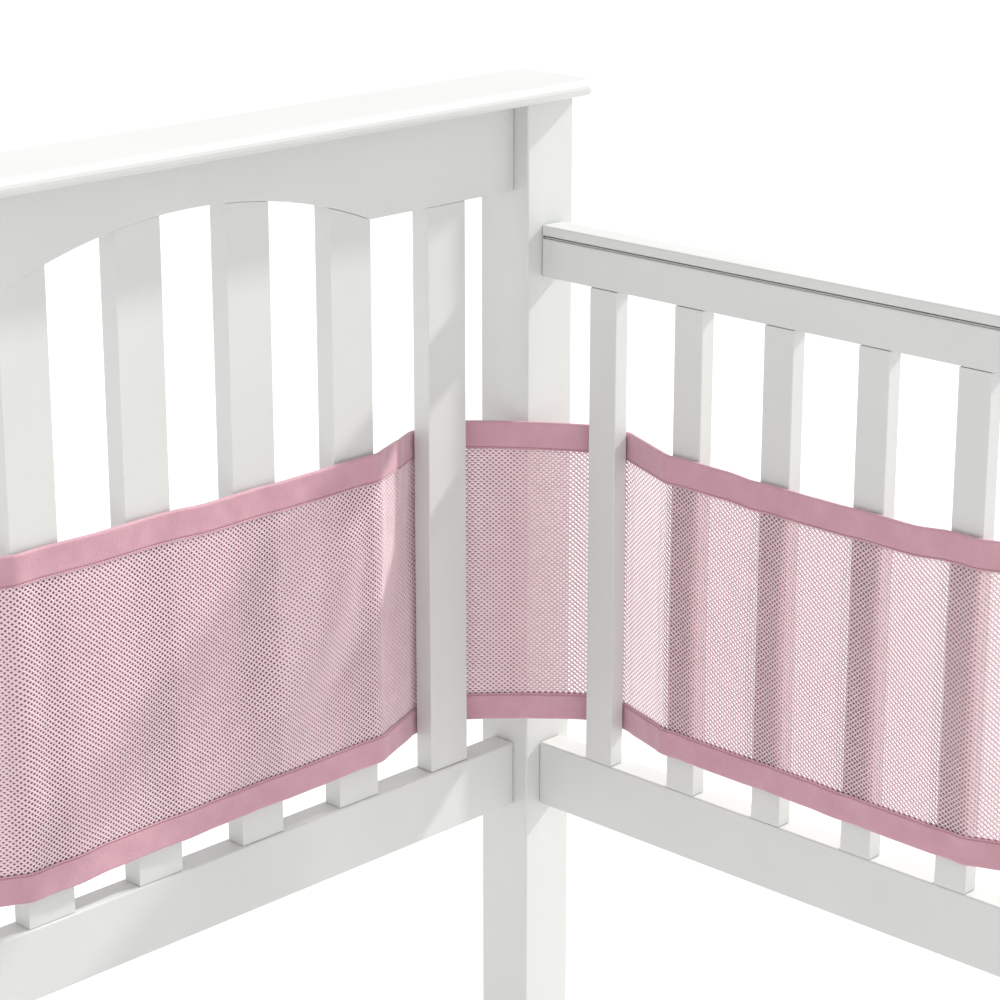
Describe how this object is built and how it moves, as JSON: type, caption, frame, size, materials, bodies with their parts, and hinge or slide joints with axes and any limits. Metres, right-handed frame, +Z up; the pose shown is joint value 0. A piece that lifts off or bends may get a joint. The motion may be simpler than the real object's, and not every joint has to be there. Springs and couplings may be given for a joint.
{
  "type": "crib bumper on a crib corner frame",
  "caption": "Breathable mesh crib bumper with bound edges, woven inside and outside the slats of a painted crib corner.",
  "frame": {"origin": "on the floor, under the middle of the part's box", "axes": "+Z up; +X along the head panel towards the corner post; +Y along the side panel towards the corner post, so the crib's inside lies towards -X and -Y of the corner"},
  "size_m": [0.849, 0.748, 0.927],
  "materials": {
    "white_paint": "satin white paint on wood",
    "pink_mesh": "matt open spacer mesh",
    "rose_binding": "soft brushed woven binding"
  },
  "bodies": {
    "root": {"post_corner": "white_paint", "post_left": "white_paint", "post_side_end": "white_paint", "head_cap": "white_paint", "head_rail": "white_paint", "head_bottom_rail": "white_paint", "head_slat_1": "white_paint", "head_slat_2": "white_paint", "head_slat_3": "white_paint", "head_slat_4": "white_paint", "head_slat_5": "white_paint", "head_slat_6": "white_paint", "side_cap": "white_paint", "side_rail": "white_paint", "side_bottom_rail": "white_paint", "side_slat_1": "white_paint", "side_slat_2": "white_paint", "side_slat_3": "white_paint", "side_slat_4": "white_paint", "side_slat_5": "white_paint", "side_slat_6": "white_paint", "bumper_mesh": "pink_mesh", "binding_top": "rose_binding", "binding_bottom": "rose_binding"}
  },
  "joints": []
}
